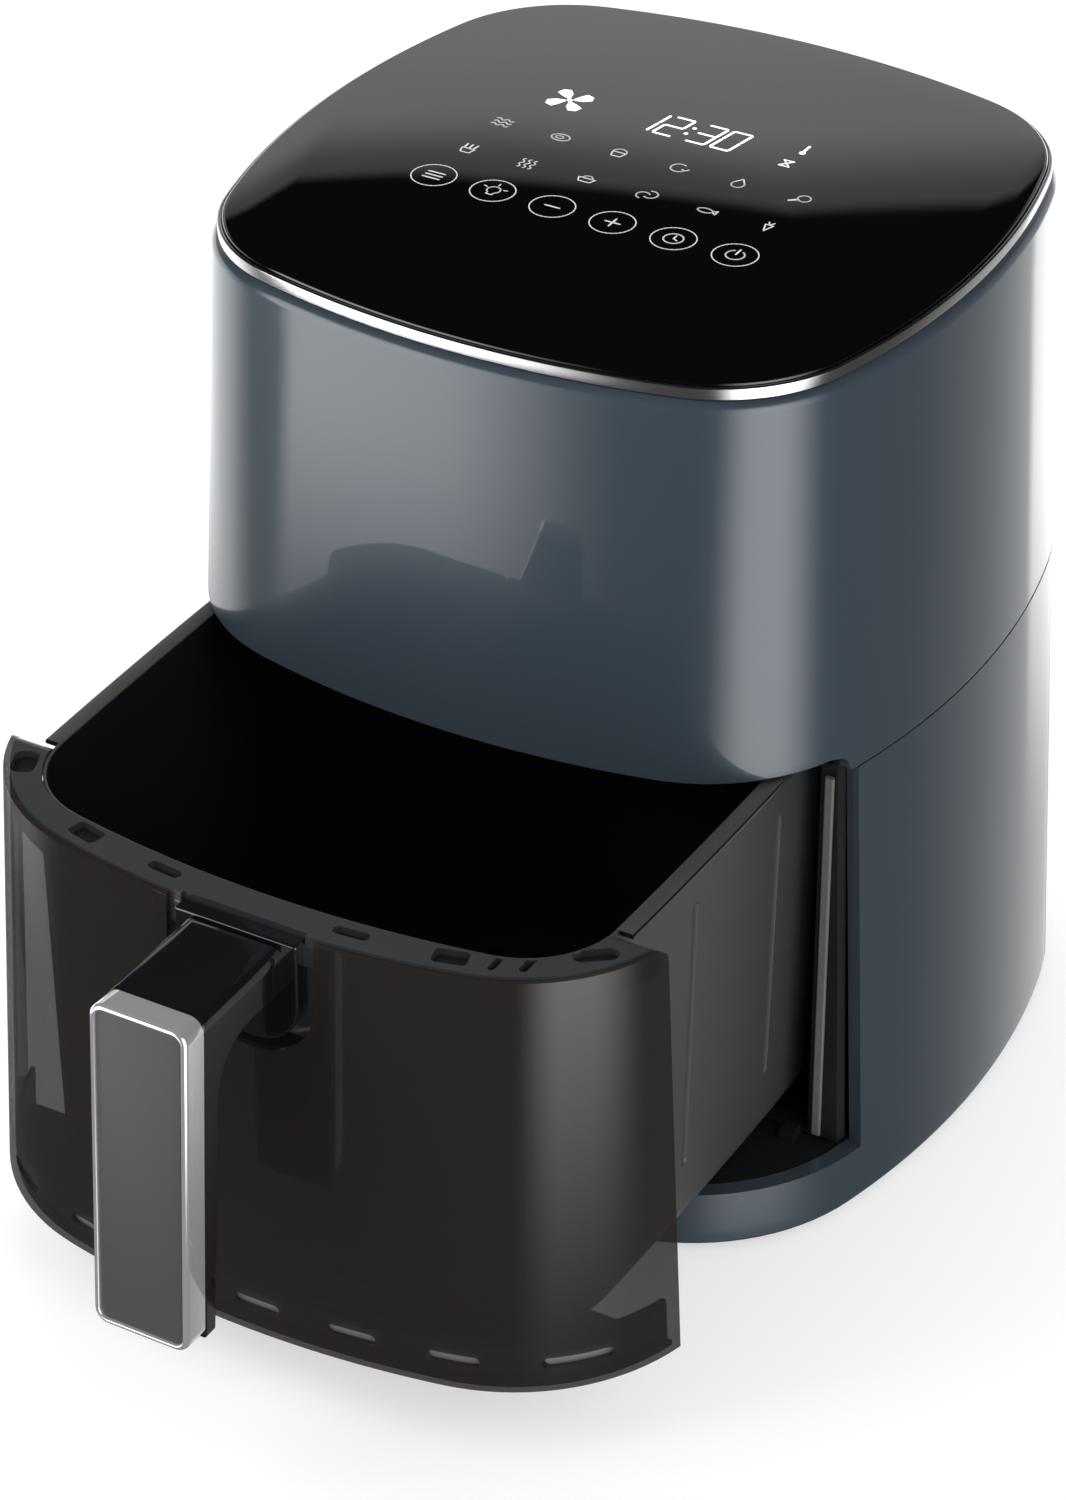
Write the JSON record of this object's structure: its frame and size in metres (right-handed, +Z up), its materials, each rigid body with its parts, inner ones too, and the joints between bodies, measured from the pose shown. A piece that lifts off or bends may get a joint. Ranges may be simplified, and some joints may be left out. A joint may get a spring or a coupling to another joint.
{
  "type": "air fryer",
  "caption": "Basket air fryer: flared glossy body, black glass touch panel with bright trim, and a pull-out basket behind a smoked front with a bar handle.",
  "frame": {"origin": "on the worktop, under the middle of the whole appliance's outline with its drawer pulled out as stored (the middle of the housing is 82.7 mm behind it, along +Y)", "axes": "+Z up; +Y towards the back, so the drawer opens along -Y; +X to the right of someone facing the front"},
  "size_m": [0.2688, 0.4415, 0.315],
  "materials": {
    "body_paint": "glossy steel blue",
    "base_plastic": "matt black",
    "foot_rubber": "matt",
    "bright_trim": "bright brushed",
    "panel_glass": "polished black glass",
    "circuit_board": "green lacquer",
    "display_case": "matt",
    "inner_black": "matt black",
    "guide_grey": "satin light grey",
    "chamber_steel": "dark coated steel",
    "reflector_steel": "satin",
    "element_steel": "heat stained",
    "guard_steel": "satin",
    "lamp_glass": "frosted",
    "motor_steel": "satin",
    "fan_metal": "satin",
    "screw_steel": "satin",
    "basket_coat": "satin non-stick coating",
    "window_glass": "clear",
    "gasket_rubber": "matt",
    "front_plastic": "satin dark grey",
    "smoked_cover": "smoked, polished",
    "vent_grey": "satin grey",
    "handle_black": "gloss black",
    "handle_chrome": "mirror",
    "insert_grey": "satin dark grey",
    "crisper_coat": "satin non-stick coating",
    "silicone": "matt silicone"
  },
  "bodies": {
    "housing": {"lower_housing": "body_paint", "upper_housing": "body_paint", "base_plate": "base_plastic", "foot_1": "foot_rubber", "foot_2": "foot_rubber", "foot_3": "foot_rubber", "foot_4": "foot_rubber", "base_screws": "screw_steel", "trim_ring": "bright_trim", "glass_panel": "panel_glass", "panel_carrier": "inner_black", "control_board": "circuit_board", "display_module": "display_case", "opening_frame": "inner_black", "sill_tray": "inner_black", "guide_strip_left": "guide_grey", "guide_strip_right": "guide_grey", "rail_left": "chamber_steel", "rail_right": "chamber_steel", "chamber_liner": "chamber_steel", "chamber_top": "chamber_steel", "lamp_lens": "lamp_glass", "chamber_lamp": "motor_steel", "temperature_sensor": "motor_steel", "latch_spring": "guard_steel", "heat_reflector": "reflector_steel", "heating_element": "element_steel", "element_clip_1": "guard_steel", "element_clip_2": "guard_steel", "element_clip_3": "guard_steel", "element_guard": "guard_steel", "motor_bracket": "motor_steel", "bracket_screws": "screw_steel", "motor": "motor_steel", "power_board": "circuit_board", "exhaust_duct": "inner_black", "rear_grille": "inner_black", "cord_gland": "gasket_rubber", "switch_housing": "inner_black"},
    "rotor": {"convection_fan": "fan_metal", "cooling_fan": "inner_black", "motor_shaft": "motor_steel", "fan_nut": "screw_steel"},
    "door_switch": {"switch_plunger": "inner_black"},
    "drawer": {"basket": "basket_coat", "basket_window": "window_glass", "window_frame": "gasket_rubber", "front_frame": "front_plastic", "window_cover": "smoked_cover", "vent_strip": "vent_grey", "lower_frame": "inner_black", "handle_body": "handle_black", "handle_screws": "screw_steel", "handle_trim": "handle_chrome", "handle_insert": "insert_grey"},
    "crisper": {"crisper_plate": "crisper_coat", "crisper_foot_1": "silicone", "crisper_foot_2": "silicone", "crisper_foot_3": "silicone", "crisper_foot_4": "silicone"}
  },
  "joints": [
    {"name": "drawer_slide", "type": "slide", "parent": "housing", "child": "drawer", "axis": [0, -1, 0], "range_m": [-0.1164, 0.115]},
    {"name": "crisper_lift", "type": "slide", "parent": "drawer", "child": "crisper", "axis": [0, 0, 1], "range_m": [0, 0.1]},
    {"name": "fan_spin", "type": "hinge", "parent": "housing", "child": "rotor", "pos_m": [0, 0.0827, 0.2], "axis": [0, 0, 1], "continuous": true},
    {"name": "switch_press", "type": "slide", "parent": "housing", "child": "door_switch", "axis": [0, 1, 0], "range_m": [0, 0.003], "stiffness_N_per_m": 150}
  ]
}
